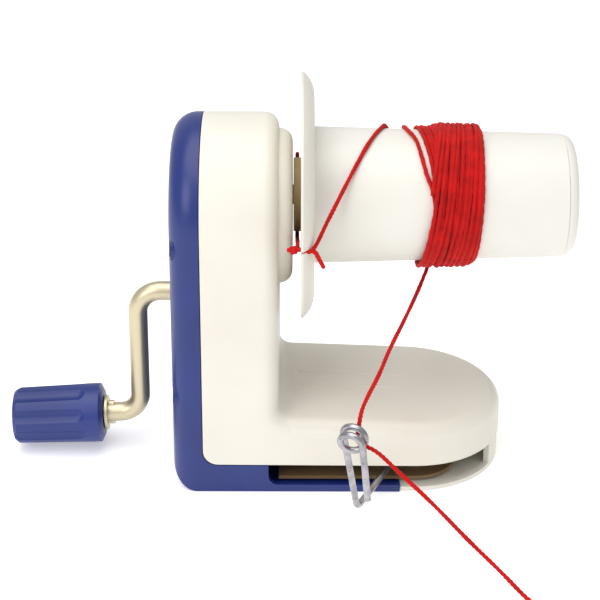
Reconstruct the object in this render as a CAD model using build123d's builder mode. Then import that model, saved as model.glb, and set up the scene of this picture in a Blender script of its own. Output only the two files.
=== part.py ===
from build123d import *
import os
from math import acos, cos, degrees, pi, radians, sin, sqrt, tan

# A hand-cranked yarn winder: an L-shaped hollow housing, a crank behind it, a spool in front of
# the column and a wire yarn guide that swings in a slot round the nose of the base.
# Millimetres. +X runs along the spool to its free end, +Z is up, the slot is on the -Y side.
# X = 0 is the column's front face and Z = 0 the face that the winder stands on.

# ---------------------------------------------------------------- driving dimensions
half_width = 38.25          # centre plane to either side of the column and the base
back_x = -43.0              # column's back face
nose_x = 54.8               # centre of the round nose, where the yarn guide pivots
wall = 2.4
floor = 2.0
column_arch_z = 110.3       # centre of the column's round top
base_top_z = 32.0           # top of the base where it meets the column
base_slope = 2.1            # degrees that the top of the base falls towards the nose

seam_x = -30.5              # front shell meets back shell
seam_gap = 0.35             # shadow line between the shells
shell_edge_z = 12.2         # front shell's lower edge at X = 0
shell_edge_slope = 0.3      # degrees that this edge falls towards the nose
pan_x = 49.6                # back shell meets the nose pan along the bottom
pan_inset = 0.45            # nose pan stands in from the shell above it

slot_x = -4.1               # left end of the guide slot
slot_lip_z = 3.1            # lip under the slot
slot_nose_angle = 60.0      # degrees past straight towards the camera side, round the nose

spool_z = 115.0             # spool axis
crank_z = 72.0              # crank axis
shaft_radius = 4.0          # spool shaft and crank rod
running_clearance = 0.05    # radial, shafts in their bushings

boss_radius = 31.6
boss_front_x = 5.5
hub_radius = 15.0
hub_back_x = 5.85
flange_back_x = 8.84
flange_front_x = 14.2
flange_radius = 50.0
slit_angle = -5.5           # degrees from straight towards -Y, seen from the free end
barrel_back_radius = 27.8
barrel_end_x = 114.3
barrel_slope = 1.6          # degrees of taper
spool_end_x = 118.7

gear_module = 1.0
drive_teeth = 62
pinion_teeth = 24

arm_x = -59.0               # crank arm
grip_back_x = -74.5         # end of the grip beside the arm
grip_axis_z = 15.4          # height of the grip's axis there
grip_slope = 2.6            # degrees that the grip pin falls away from the arm
grip_length = 37.8

wire_radius = 1.3          # yarn guide wire
guide_arm_z = 8.0
yarn_radius = 0.9

post_places = [(y, z) for y in (-30.5, 30.5) for z in (40.0, 104.0)]
pan_screw_places = [(56.0, 27.0), (76.0, 21.0), (84.0, 2.0)]
shell_screw_places = [(6.0, -18.0), (6.0, 18.0)]

os.makedirs("parts", exist_ok=True)


def keep(piece, name):
    """Label a finished piece and write it."""
    piece.part.label = name
    export_step(piece.part, f"parts/{name}.step")


def turned(outline, axis_z):
    """A round piece turned about a line along X; its outline is a list of (x, radius)."""
    with BuildPart() as piece:
        with BuildSketch(Plane.XZ):
            with BuildLine():
                Polyline(*[(x, axis_z + radius) for x, radius in outline], close=True)
            make_face()
        revolve(axis=Axis((0, 0, axis_z), (1, 0, 0)))
    return piece.part


def bar(radius, start, end):
    """A round bar from one point to another."""
    along = Vector(*end) - Vector(*start)
    with BuildPart() as piece:
        with BuildSketch(Plane(origin=start, z_dir=along)):
            Circle(radius)
        extrude(amount=along.length)
    return piece.part


def tube(points, radii, radius):
    """A round tube along straight runs joined by tangent arcs."""
    with BuildPart() as piece:
        with BuildLine() as path:
            FilletPolyline(*points, radius=radii)
        with BuildSketch(Plane(origin=path.line @ 0, z_dir=path.line % 0)):
            Circle(radius)
        sweep(path=path.line)
    return piece.part


def cord_radii(points):
    """Arc radii for a limp cord: 0.45 of the shorter run over the tangent of half the turn."""
    radii = []
    for before, here, after in zip(points, points[1:], points[2:]):
        run_in = Vector(*here) - Vector(*before)
        run_out = Vector(*after) - Vector(*here)
        turn = radians(run_in.get_angle(run_out))
        radii.append(0.45 * min(run_in.length, run_out.length) / tan(turn / 2))
    return radii


# ---------------------------------------------------------------- housing
def housing_form(inset, bottom, edge_radius, corner_radius, back_radius):
    """The L-shaped form of the whole housing, drawn in from every side by inset."""
    side = half_width - inset
    slope = radians(base_slope)
    with BuildPart() as form:
        with BuildSketch(Plane.XY.offset(bottom)):
            with Locations(((back_x + inset + nose_x) / 2, 0)):
                Rectangle(nose_x - back_x - inset, 2 * side)
            with Locations((nose_x, 0)):
                Circle(side)
        extrude(amount=base_top_z + 5)
        split(
            bisect_by=Plane(origin=(0, 0, base_top_z - inset), z_dir=(sin(slope), 0, cos(slope))),
            keep=Keep.BOTTOM,
        )
        with BuildSketch(Plane.YZ.offset(back_x + inset)):
            with BuildLine():
                Line((side, column_arch_z), (side, bottom))
                Line((side, bottom), (-side, bottom))
                Line((-side, bottom), (-side, column_arch_z))
                CenterArc((0, column_arch_z), side, 0, 180)
            make_face()
        extrude(amount=-back_x - 2 * inset)
        inner_corner = form.edges().filter_by(Axis.Y).sort_by_distance((-inset, 0, base_top_z))[0]
        fillet(inner_corner, corner_radius)
        outline = [
            edge
            for edge in form.edges() - form.edges().filter_by(Axis.Y) - form.edges().filter_by(Axis.X)
            if edge.bounding_box().max.Z > bottom + 0.5
            and edge.bounding_box().max.X > back_x + inset + 0.5
            and not (edge.bounding_box().min.Z < bottom + 0.5 and edge.center().X > 0)
        ]
        fillet(outline, edge_radius)
        back_edges = [e for e in form.edges() if e.bounding_box().max.X < back_x + inset + 0.1]
        fillet(back_edges, back_radius)
    return form.part


def ahead_of_seam(gap):
    """All the space forward of the seam and above the front shell's lower edge."""
    far_x = 140.0
    left = seam_x - gap

    def edge_z(x):
        return shell_edge_z - x * tan(radians(shell_edge_slope)) - gap

    with BuildPart() as space:
        with BuildSketch(Plane.XZ):
            with BuildLine():
                Polyline((left, 200), (left, edge_z(left)), (far_x, edge_z(far_x)), (far_x, 200),
                         close=True)
            make_face()
            fillet(vertices().sort_by_distance((left, edge_z(left)))[0], 6.0)
        extrude(amount=60, both=True)
    return space.part


outer_form = housing_form(0, 0, 6.0, 5.0, 10.0)
inner_form = housing_form(wall, floor, 3.6, 7.4, 7.6)

with BuildPart() as boss:
    with BuildSketch(Plane.YZ.offset(-1)):
        with Locations((0, column_arch_z)):
            Circle(boss_radius)
    extrude(amount=boss_front_x + 1)
    fillet(boss.edges().group_by(Axis.X)[-1], 5.4)

post_front_x = -29.0
post_hole = 1.55
with BuildPart() as front_housing:
    add(outer_form)
    add(boss.part)
    add(inner_form, mode=Mode.SUBTRACT)
    # sockets for the two front bushings
    add(turned([(-12, 0), (-12, 12.5), (1, 12.5), (1, 0)], spool_z))
    add(turned([(-12, 0), (-12, 10.5), (-1, 10.5), (-1, 0)], crank_z))
    # posts that carry the bearing plate and take the long screws
    for y, z in post_places:
        add(bar(4.3, (post_front_x, y, z), (-1, y, z)))
    # post over the guide pivot and posts for the base screws, hanging from the top of the base
    add(bar(6.5, (nose_x, 0, 10.2), (nose_x, 0, 28.5)))
    for x, y in shell_screw_places + pan_screw_places:
        add(bar(4.0, (x, y, 12.6), (x, y, base_top_z - 1.2 - x * tan(radians(base_slope)))))
    # bores
    add(turned([(-20, 0), (-20, 8.02), (20, 8.02), (20, 0)], spool_z), mode=Mode.SUBTRACT)
    add(turned([(-20, 0), (-20, 7.02), (-2.4, 7.02), (-2.4, 0)], crank_z), mode=Mode.SUBTRACT)
    for y, z in post_places:
        add(bar(post_hole, (-30, y, z), (-12, y, z)), mode=Mode.SUBTRACT)
    add(bar(3.02, (nose_x, 0, 5), (nose_x, 0, 23)), mode=Mode.SUBTRACT)
    for x, y in shell_screw_places + pan_screw_places:
        add(bar(post_hole, (x, y, 10), (x, y, 24)), mode=Mode.SUBTRACT)
    add(ahead_of_seam(0), mode=Mode.INTERSECT)
    # two shallow lines along the top of the base, and a dimple in its near side
    slope_drop = tan(radians(base_slope))
    for y in (-5.75, 5.75):
        add(bar(0.5, (8, y, base_top_z + 0.2 - 8 * slope_drop),
                (52, y, base_top_z + 0.2 - 52 * slope_drop)), mode=Mode.SUBTRACT)
    with Locations((4.9, -half_width - 1.2, 28.0)):
        Sphere(1.7, mode=Mode.SUBTRACT)
keep(front_housing, "front_housing")

with BuildPart() as slot_space:
    with BuildSketch(Plane.XZ.offset(half_width + 5)):
        with BuildLine():
            Polyline((slot_x, slot_lip_z), (90, slot_lip_z), (90, 30), (slot_x, 30), close=True)
        make_face()
        fillet(vertices().sort_by_distance((slot_x, slot_lip_z))[0], 4.0)
    extrude(amount=-(wall + 5.5))

recess_radius = 3.3
with BuildPart() as back_housing:
    add(outer_form)
    add(inner_form, mode=Mode.SUBTRACT)
    add(ahead_of_seam(seam_gap), mode=Mode.SUBTRACT)
    add(slot_space.part, mode=Mode.SUBTRACT)
    split(bisect_by=Plane.YZ.offset(pan_x - 0.2), keep=Keep.BOTTOM)
    # socket for the crank bushing, tubes for the long screws, bosses for the base screws
    add(turned([(-42, 0), (-42, 10.5), (-34, 10.5), (-34, 0)], crank_z))
    for y, z in post_places:
        add(bar(4.8, (-42, y, z), (-31.6, y, z)))
        add(bar(1.7, (-44, y, z), (-30, y, z)), mode=Mode.SUBTRACT)
        add(bar(recess_radius, (-44, y, z), (-36.5, y, z)), mode=Mode.SUBTRACT)
    add(turned([(-44, 0), (-44, 7.02), (-30, 7.02), (-30, 0)], crank_z), mode=Mode.SUBTRACT)
    for x, y in shell_screw_places:
        add(bar(5.0, (x, y, 0), (x, y, 12.4)))
        add(bar(1.7, (x, y, -1), (x, y, 14)), mode=Mode.SUBTRACT)
        add(bar(recess_radius, (x, y, -1), (x, y, 3)), mode=Mode.SUBTRACT)
    # room for the pan's pivot boss
    add(bar(6.7, (nose_x, 0, -1), (nose_x, 0, 8)), mode=Mode.SUBTRACT)
keep(back_housing, "back_housing")

pan_side = half_width - pan_inset
pan_edge_drop = 0.35
with BuildPart() as nose_pan:
    with BuildSketch():
        with Locations(((pan_x + nose_x) / 2, 0)):
            Rectangle(nose_x - pan_x, 2 * pan_side)
        with Locations((nose_x, 0)):
            Circle(pan_side)
        Rectangle(2 * pan_x, 100, mode=Mode.SUBTRACT)
    extrude(amount=20)
    with BuildSketch(Plane.XY.offset(floor)):
        with Locations(((pan_x + nose_x) / 2, 0)):
            Rectangle(nose_x - pan_x, 2 * (pan_side - wall))
        with Locations((nose_x, 0)):
            Circle(pan_side - wall)
        Rectangle(2 * pan_x, 100, mode=Mode.SUBTRACT)
    extrude(amount=20, mode=Mode.SUBTRACT)
    add(ahead_of_seam(pan_edge_drop), mode=Mode.SUBTRACT)
    # the slot: no wall from the straight side round to slot_nose_angle
    slot_end = radians(slot_nose_angle - 90)
    with BuildSketch(Plane.XY.offset(floor)):
        with BuildLine():
            Polyline((nose_x, 0), (nose_x + 60 * cos(slot_end), 60 * sin(slot_end)),
                     (nose_x + 60, -60), (pan_x - 1, -60), (pan_x - 1, 0), close=True)
        make_face()
    extrude(amount=20, mode=Mode.SUBTRACT)
    fillet(nose_pan.edges().group_by(Axis.Z)[0].filter_by(GeomType.CIRCLE), 0.7)
    # pivot boss and screw bosses
    add(bar(6.5, (nose_x, 0, 0), (nose_x, 0, 6.1)))
    add(bar(3.02, (nose_x, 0, 0.8), (nose_x, 0, 8)), mode=Mode.SUBTRACT)
    for x, y in pan_screw_places:
        add(bar(5.0, (x, y, 0), (x, y, 11.0)))
        add(bar(1.7, (x, y, -1), (x, y, 14)), mode=Mode.SUBTRACT)
        add(bar(recess_radius, (x, y, -1), (x, y, 3)), mode=Mode.SUBTRACT)
keep(nose_pan, "nose_pan")

plate_bottom_z = 3.0
plate_top_z = 4.4
with BuildPart() as guide_plate:
    with BuildSketch(Plane.XY.offset(plate_bottom_z)):
        with Locations((36.5, 0)):
            Rectangle(73, 66.8)
        fillet(vertices().group_by(Axis.X)[-1], 17)
        with Locations((nose_x, 0)):
            Circle(7.0, mode=Mode.SUBTRACT)
        with Locations(*(shell_screw_places + pan_screw_places)):
            Circle(5.4, mode=Mode.SUBTRACT)
    extrude(amount=plate_top_z - plate_bottom_z)
    with BuildSketch(Plane.XY.offset(floor)):
        with Locations((20, -18), (20, 18), (66, 0)):
            Circle(3)
    extrude(amount=plate_bottom_z - floor)
keep(guide_plate, "guide_plate")

# ---------------------------------------------------------------- frame inside the column
plate_front_x = -29.1
plate_back_x = -31.5
with BuildPart() as bearing_plate:
    with BuildSketch(Plane.YZ.offset(plate_back_x)):
        with Locations((0, column_arch_z)):
            Circle(34.6)
        with Locations((0, (column_arch_z + 34) / 2)):
            Rectangle(2 * 34.6, column_arch_z - 34)
        with Locations((0, spool_z)):
            Circle(6.02, mode=Mode.SUBTRACT)
        with Locations((0, crank_z)):
            Circle(5.5, mode=Mode.SUBTRACT)
        with Locations(*post_places):
            Circle(1.7, mode=Mode.SUBTRACT)
    extrude(amount=plate_front_x - plate_back_x)
keep(bearing_plate, "bearing_plate")

bore = shaft_radius + running_clearance
with BuildPart() as crank_rear_bushing:
    add(turned([(-43, bore), (-43, 7), (-34, 7), (-34, 9), (-32.6, 9), (-32.6, bore)], crank_z))
keep(crank_rear_bushing, "crank_rear_bushing")

with BuildPart() as crank_front_bushing:
    add(turned([(-12, bore), (-12, 7), (-2.6, 7), (-2.6, bore)], crank_z))
keep(crank_front_bushing, "crank_front_bushing")

with BuildPart() as spool_rear_bushing:
    add(turned([(-32.6, bore), (-32.6, 6), (-29.1, 6), (-29.1, 8), (-27.8, 8), (-27.8, bore)],
               spool_z))
keep(spool_rear_bushing, "spool_rear_bushing")

with BuildPart() as spool_front_bushing:
    add(turned([(-13.4, bore), (-13.4, 10.5), (-12, 10.5), (-12, 8), (5.2, 8), (5.2, bore)],
               spool_z))
keep(spool_front_bushing, "spool_front_bushing")


def screw(head_start, head_end, shank_end, head_radius=3.0, shank_radius=1.5):
    """A pan-head screw: a domed head with a cross slot, and a plain shank."""
    along = (Vector(*shank_end) - Vector(*head_start)).normalized()
    with BuildPart() as piece:
        with BuildSketch(Plane(origin=head_start, z_dir=along)):
            Circle(head_radius)
        extrude(amount=(Vector(*head_end) - Vector(*head_start)).length)
        fillet(piece.edges().sort_by(lambda e: (e.center() - Vector(*head_start)).length)[0], 1.0)
        with BuildSketch(Plane(origin=head_start, z_dir=along)):
            Rectangle(3.4, 0.7)
            Rectangle(0.7, 3.4)
        extrude(amount=1.1, mode=Mode.SUBTRACT)
        add(bar(shank_radius, head_end, shank_end))
    return piece.part


with BuildPart() as housing_screws:
    for y, z in post_places:
        add(screw((-38.9, y, z), (-36.6, y, z), (-14, y, z)))
keep(housing_screws, "housing_screws")

with BuildPart() as base_screws:
    for x, y in shell_screw_places + pan_screw_places:
        add(screw((x, y, 0.7), (x, y, 2.9), (x, y, 22)))
keep(base_screws, "base_screws")

# ---------------------------------------------------------------- gears
def gear_face(teeth, phase, centre):
    """Sketch of an involute gear of module 1 with a little backlash, a tooth at phase degrees."""
    pitch_radius = gear_module * teeth / 2
    tip_radius = pitch_radius + 0.92 * gear_module
    root_radius = pitch_radius - 1.2 * gear_module
    pressure = radians(20)
    base_radius = pitch_radius * cos(pressure)
    half_tooth = (pi / 2 - 0.08) / teeth

    def involute(angle):
        return tan(angle) - angle

    def flank(radius, side, middle):
        angle = acos(min(1, base_radius / radius))
        turn = middle + side * (half_tooth + involute(pressure) - involute(angle))
        return (centre[0] + radius * cos(turn), centre[1] + radius * sin(turn))

    start = max(base_radius, root_radius)
    steps = [start + (tip_radius - start) * k / 3 for k in range(4)]
    outline = []
    for tooth in range(teeth):
        middle = radians(phase) + 2 * pi * tooth / teeth
        for side, radii in ((-1, steps), (1, steps[::-1])):
            points = [flank(radius, side, middle) for radius in radii]
            root_turn = middle + side * (half_tooth + involute(pressure))
            root = (centre[0] + root_radius * cos(root_turn), centre[1] + root_radius * sin(root_turn))
            if start > root_radius:
                points = [root] + points if side < 0 else points + [root]
            outline += points
    with BuildSketch() as face:
        with BuildLine():
            Polyline(*outline, close=True)
        make_face()
    return face.sketch


gear_back_x = -24.0
gear_front_x = -17.0
with BuildPart() as drive_gear:
    with BuildSketch(Plane.YZ.offset(gear_back_x)):
        add(gear_face(drive_teeth, 90, (0, crank_z)))
        # lightening holes between the hub and the rim
        with Locations((0, crank_z)):
            with PolarLocations(19, 6):
                Circle(5.2, mode=Mode.SUBTRACT)
    extrude(amount=gear_front_x - gear_back_x)
    add(turned([(-26.4, 0), (-26.4, 9), (-13, 9), (-13, 0)], crank_z))
    add(turned([(-30, 0), (-30, 4.02), (-10, 4.02), (-10, 0)], crank_z), mode=Mode.SUBTRACT)
    add(bar(1.27, (-15, -12, crank_z), (-15, 12, crank_z)), mode=Mode.SUBTRACT)
keep(drive_gear, "drive_gear")

with BuildPart() as gear_pin:
    add(bar(1.25, (-15, -8.6, crank_z), (-15, 8.6, crank_z)))
keep(gear_pin, "gear_pin")

with BuildPart() as spool_pinion:
    with BuildSketch(Plane.YZ.offset(-25.5)):
        add(gear_face(pinion_teeth, 270 + 180 / pinion_teeth, (0, spool_z)))
    extrude(amount=9)
    add(turned([(-17, 0), (-17, 7.5), (-13.7, 7.5), (-13.7, 0)], spool_z))
    add(turned([(-30, 0), (-30, 4.02), (-10, 4.02), (-10, 0)], spool_z), mode=Mode.SUBTRACT)
    add(bar(0.97, (-15.1, -12, spool_z), (-15.1, 12, spool_z)), mode=Mode.SUBTRACT)
keep(spool_pinion, "spool_pinion")

with BuildPart() as pinion_pin:
    add(bar(0.95, (-15.1, -7.2, spool_z), (-15.1, 7.2, spool_z)))
keep(pinion_pin, "pinion_pin")

# ---------------------------------------------------------------- crank and grip
slope_sine = sin(radians(grip_slope))
slope_cosine = cos(radians(grip_slope))
grip_along = (-slope_cosine, 0, -slope_sine)


def on_grip(distance, across=0.0):
    """Point on the grip's axis, measured outwards from its arm end, and raised by across."""
    return (
        grip_back_x - distance * slope_cosine - across * slope_sine,
        0,
        grip_axis_z - distance * slope_sine + across * slope_cosine,
    )


corner_z = on_grip((grip_back_x - arm_x) / slope_cosine)[2]
rod_path = [(-3.4, 0, crank_z), (arm_x, 0, crank_z), (arm_x, 0, corner_z), on_grip(31.0)]
ear_distance = 4.3
with BuildPart() as crank_rod:
    add(tube(rod_path, [9.5, 8.8], shaft_radius))
    # two ears pressed out of the rod, which stop the grip
    with BuildSketch(Plane(origin=on_grip(-ear_distance), x_dir=(0, 1, 0), z_dir=grip_along)):
        RectangleRounded(3.2, 10.6, 1.2)
    extrude(amount=2.2)
    add(bar(1.27, (-15, -12, crank_z), (-15, 12, crank_z)), mode=Mode.SUBTRACT)
    # groove for the clip
    add(turned([(-28.7, 3.3), (-28.7, 6), (-27.7, 6), (-27.7, 3.3)], crank_z), mode=Mode.SUBTRACT)
keep(crank_rod, "crank_rod")


def clip(axis_z, start_x, thickness):
    """An E-clip: a slotted ring that sits in a groove."""
    with BuildPart() as piece:
        with BuildSketch(Plane.YZ.offset(start_x)):
            with Locations((0, axis_z)):
                Circle(6.6)
                Circle(3.35, mode=Mode.SUBTRACT)
            with Locations((0, axis_z - 5)):
                Rectangle(5.0, 10, mode=Mode.SUBTRACT)
        extrude(amount=thickness)
    return piece.part


with BuildPart() as crank_clip:
    add(clip(crank_z, -28.6, 0.8))
keep(crank_clip, "crank_clip")

with BuildPart() as grip_washer:
    with BuildSketch(Plane(origin=on_grip(-1.6), z_dir=grip_along)):
        Circle(7.2)
        Circle(4.1, mode=Mode.SUBTRACT)
    extrude(amount=1.0)
keep(grip_washer, "grip_washer")

grip_arm_radius = 12.4
grip_end_radius = 11.8
flutes = 8
flute_radius = 4.2
flute_depth = 1.5
with BuildPart() as grip_form:
    add(turned([(0, bore), (0, 9.6), (1.4, grip_arm_radius), (5.2, grip_arm_radius),
                (36.2, grip_end_radius), (grip_length, 10.6), (grip_length, 8.1), (29.0, 8.1),
                (29.0, bore)], 0))
    for number in range(flutes):
        turn = radians(360 / flutes * (number + 0.5))
        away = (0, cos(turn), sin(turn))
        start = Vector(10.5, 0, 0) + Vector(*away) * (grip_arm_radius - flute_depth + flute_radius)
        end = Vector(40, 0, 0) + Vector(*away) * (grip_end_radius - flute_depth + flute_radius)
        add(bar(flute_radius, start, end), mode=Mode.SUBTRACT)
        with Locations(start):
            Sphere(flute_radius, mode=Mode.SUBTRACT)
grip_frame = Plane(origin=on_grip(0), x_dir=grip_along, z_dir=(-slope_sine, 0, slope_cosine))
with BuildPart() as crank_grip:
    add(grip_frame.from_local_coords(grip_form.part))
keep(crank_grip, "crank_grip")

with BuildPart() as grip_retainer:
    with BuildSketch(Plane(origin=on_grip(29.3), z_dir=grip_along)):
        Circle(6.6)
        Circle(4.02, mode=Mode.SUBTRACT)
    extrude(amount=1.5)
keep(grip_retainer, "grip_retainer")

with BuildPart() as grip_cap:
    with BuildSketch(Plane(origin=on_grip(grip_length - 3.4), z_dir=grip_along)):
        Circle(8.08)
    extrude(amount=3.8)
    fillet(grip_cap.edges().sort_by(Axis.X)[0], 1.2)
keep(grip_cap, "grip_cap")

# ---------------------------------------------------------------- spool
with BuildPart() as spool_shaft:
    add(turned([(-36, 0), (-36, 4), (-33.7, 4), (-33.7, 3.3), (-32.7, 3.3), (-32.7, 4), (97, 4),
                (97, 2.05), (82, 2.05), (82, 0)], spool_z))
    add(bar(0.97, (-15.1, -12, spool_z), (-15.1, 12, spool_z)), mode=Mode.SUBTRACT)
keep(spool_shaft, "spool_shaft")

with BuildPart() as spool_clip:
    add(clip(spool_z, -33.6, 0.8))
keep(spool_clip, "spool_clip")

with BuildPart() as spool_hub:
    add(turned([(hub_back_x, 4.02), (hub_back_x, hub_radius), (flange_back_x, hub_radius),
                (flange_back_x, 12), (flange_front_x, 12), (flange_front_x, 8), (98, 8),
                (98, 4.02)], spool_z))
keep(spool_hub, "spool_hub")

slit_direction = (0, -cos(radians(slit_angle)), sin(radians(slit_angle)))
with BuildPart() as flange_disc:
    with BuildSketch(Plane.XZ):
        with BuildLine():
            back = Line((flange_back_x, spool_z + 12.04), (flange_back_x, spool_z + flange_radius))
            rim = Line(back @ 1, (flange_back_x + 0.9, spool_z + flange_radius))
            bevel = ThreePointArc(rim @ 1, (12.6, spool_z + 46.6), (flange_front_x, spool_z + 41.5))
            front = Line(bevel @ 1, (flange_front_x, spool_z + 12.04))
            Line(front @ 1, back @ 0)
        make_face()
    revolve(axis=Axis((0, 0, spool_z), (1, 0, 0)))
    # the slit that pinches the yarn's end
    slit_plane = Plane(origin=(flange_back_x - 1, 0, spool_z), x_dir=slit_direction, z_dir=(1, 0, 0))
    with BuildSketch(slit_plane):
        with Locations((48.0, 0)):
            Rectangle(11.0, 0.9)
    extrude(amount=10, mode=Mode.SUBTRACT)
keep(flange_disc, "flange_disc")

barrel_back_x = flange_front_x + 0.05
barrel_taper = tan(radians(barrel_slope))


def barrel_radius(x):
    """Outer radius of the barrel at a station."""
    return barrel_back_radius - (x - flange_front_x) * barrel_taper


barrel_wall = 2.0
with BuildPart() as spool_barrel:
    add(turned([(barrel_back_x, 8.05), (barrel_back_x, barrel_radius(barrel_back_x)),
                (barrel_end_x, barrel_radius(barrel_end_x)),
                (barrel_end_x, barrel_radius(barrel_end_x) - barrel_wall),
                (97.9, barrel_radius(97.9) - barrel_wall), (97.9, 8.05), (95.4, 8.05),
                (95.4, barrel_radius(95.4) - barrel_wall),
                (16.5, barrel_radius(16.5) - barrel_wall), (16.5, 8.05)], spool_z))
keep(spool_barrel, "spool_barrel")

cap_radius = barrel_radius(barrel_end_x) - 0.35
with BuildPart() as spool_end_cap:
    with BuildSketch(Plane.XZ):
        with BuildLine():
            Polyline((106, spool_z + 22.9), (106, spool_z + 21.2), (112.6, spool_z + 21.2),
                     (112.6, spool_z), (spool_end_x, spool_z),
                     (spool_end_x, spool_z + cap_radius - 4.2))
            Line((106, spool_z + 22.9), (barrel_end_x + 0.15, spool_z + 22.9))
            Line((barrel_end_x + 0.15, spool_z + 22.9), (barrel_end_x + 0.15, spool_z + cap_radius))
            ThreePointArc(
                (barrel_end_x + 0.15, spool_z + cap_radius),
                (barrel_end_x + 0.15 + 3.0, spool_z + cap_radius - 1.25),
                (spool_end_x, spool_z + cap_radius - 4.2),
            )
        make_face()
    revolve(axis=Axis((0, 0, spool_z), (1, 0, 0)))
keep(spool_end_cap, "spool_end_cap")

with BuildPart() as spool_washer:
    add(turned([(98.05, 2.2), (98.05, 11), (99.3, 11), (99.3, 2.2)], spool_z))
keep(spool_washer, "spool_washer")

with BuildPart() as spool_screw:
    add(screw((102.2, 0, spool_z), (99.35, 0, spool_z), (84, 0, spool_z), 4.0, 2.0))
keep(spool_screw, "spool_screw")

# ---------------------------------------------------------------- yarn guide
pivot = Vector(nose_x, 0, guide_arm_z)
eye_radius = 3.05 + wire_radius        # wire's centre line round the pivot pin

# The coil eye stands at the top of the upright; its axis leans back and up, away from the arm.
coil_turn = 14.0                       # degrees that the coil's axis turns from +Y towards +X
coil_rise = 10.0                       # degrees that it rises
coil_back = Vector(29.3, -78.0, 48.7)   # centre of the rearmost turn
coil_radius = 4.5
coil_pitch = 5.0
upright_length = 43.3
tail_length = 22.0
splay_in = 3.5                         # degrees that the upright leans in under the coil
splay_out = 6.0                        # degrees that the free leg leans out

axis_turn = radians(coil_turn)
axis_rise = radians(coil_rise)
coil_axis = Vector(sin(axis_turn) * cos(axis_rise), cos(axis_turn) * cos(axis_rise), sin(axis_rise))
coil_right = Vector(cos(axis_turn), -sin(axis_turn), 0)
coil_up = coil_right.cross(coil_axis)


def round_coil(angle):
    """Unit vector from the coil's axis to the wire at an angle from the right, upwards."""
    return coil_right * cos(radians(angle)) + coil_up * sin(radians(angle))


first_angle = 180 + splay_in
turns = (360 + 180 + splay_in - splay_out) / 360
last_angle = first_angle - 360 * turns
climb = coil_pitch / (2 * pi * coil_radius)


def coil_heading(angle):
    """Direction of travel along the coil, clockwise and towards the front."""
    return (round_coil(angle - 90) - coil_axis * climb).normalized()


coil_start = coil_back + round_coil(first_angle) * coil_radius
coil_end = (coil_back - coil_axis * (coil_pitch * turns) + round_coil(last_angle) * coil_radius)
foot = coil_start - coil_heading(first_angle) * upright_length
foot = Vector(foot.X, foot.Y, guide_arm_z)
tail_end = coil_end + coil_heading(last_angle) * tail_length

# The arm leaves the eye on a tangent, on its +X side.
reach = Vector(foot.X - nose_x, foot.Y, 0)
offset_angle = degrees(acos(eye_radius / reach.length))
arm_tangent = pivot + reach.normalized().rotate(Axis.Z, offset_angle) * eye_radius
tangent_angle = Vector(1, 0, 0).get_signed_angle(arm_tangent - pivot, Vector(0, 0, 1))

with BuildPart() as yarn_guide:
    with BuildLine() as guide_path:
        with BuildLine(Plane.XY.offset(guide_arm_z), mode=Mode.PRIVATE) as eye_line:
            CenterArc((nose_x, 0), eye_radius, tangent_angle + 305, -305)
        add(eye_line.line)
        FilletPolyline(arm_tangent, foot, coil_start, radius=5.0)
        coil_plane = Plane(origin=coil_back, x_dir=round_coil(first_angle), z_dir=-coil_axis)
        helix = Edge.make_helix(coil_pitch, coil_pitch * turns, coil_radius, lefthand=True)
        add(coil_plane.from_local_coords(helix))
        Line(coil_end, tail_end)
    wire_path = Wire(guide_path.edges())
    with BuildSketch(Plane(origin=wire_path @ 0, z_dir=wire_path % 0)):
        Circle(wire_radius)
    sweep(path=wire_path, is_frenet=False)
keep(yarn_guide, "yarn_guide")

with BuildPart() as guide_pin:
    add(bar(3.0, (nose_x, 0, 0.9), (nose_x, 0, 22.5)))
keep(guide_pin, "guide_pin")

with BuildPart() as guide_washers:
    for bottom_z in (6.15, 9.35):
        with BuildSketch(Plane.XY.offset(bottom_z)):
            with Locations((nose_x, 0)):
                Circle(6.4)
                Circle(3.06, mode=Mode.SUBTRACT)
        extrude(amount=0.5)
keep(guide_washers, "guide_washers")

# ---------------------------------------------------------------- yarn
band_start_x = 54.5
band_end_x = 81.5
band_thickness = 3.2
with BuildPart() as yarn_wound:
    inside = 0.05
    add(turned([(band_start_x, barrel_radius(band_start_x) + inside),
                (band_start_x + 0.6, barrel_radius(band_start_x) + 1.6),
                (band_start_x + 5, barrel_radius(band_start_x) + band_thickness - 0.5),
                (band_start_x + 13, barrel_radius(band_start_x) + band_thickness),
                (band_end_x - 5, barrel_radius(band_end_x) + band_thickness),
                (band_end_x - 0.6, barrel_radius(band_end_x) + 2.2),
                (band_end_x, barrel_radius(band_end_x) + inside)], spool_z))
keep(yarn_wound, "yarn_wound")


def round_spool(x, radius, angle):
    """Point beside the spool, the angle measured from -Y upwards over the top."""
    turn = radians(angle)
    return (x, -radius * cos(turn), spool_z + radius * sin(turn))


# The first strand comes out of the slit, climbs over the top and goes down behind into the band.
lead_clear = barrel_back_radius + 1.9
lead_points = [
    (14.2, -46.7, 110.6),
    round_spool(34.0, lead_clear, 59),
    round_spool(39.5, lead_clear, 85),
    round_spool(43.5, lead_clear, 111),
    round_spool(47.5, lead_clear - 0.2, 137),
    round_spool(53.2, lead_clear - 0.2, 160),
]
with BuildPart() as yarn_lead:
    add(tube(lead_points, cord_radii(lead_points), yarn_radius))
keep(yarn_lead, "yarn_lead")

tail_points = [(14.4, -46.4, 108.2), (15.6, -46.6, 105.6), (17.6, -46.2, 102.9)]
with BuildPart() as yarn_tail:
    add(tube(tail_points, cord_radii(tail_points), yarn_radius))
keep(yarn_tail, "yarn_tail")

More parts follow.
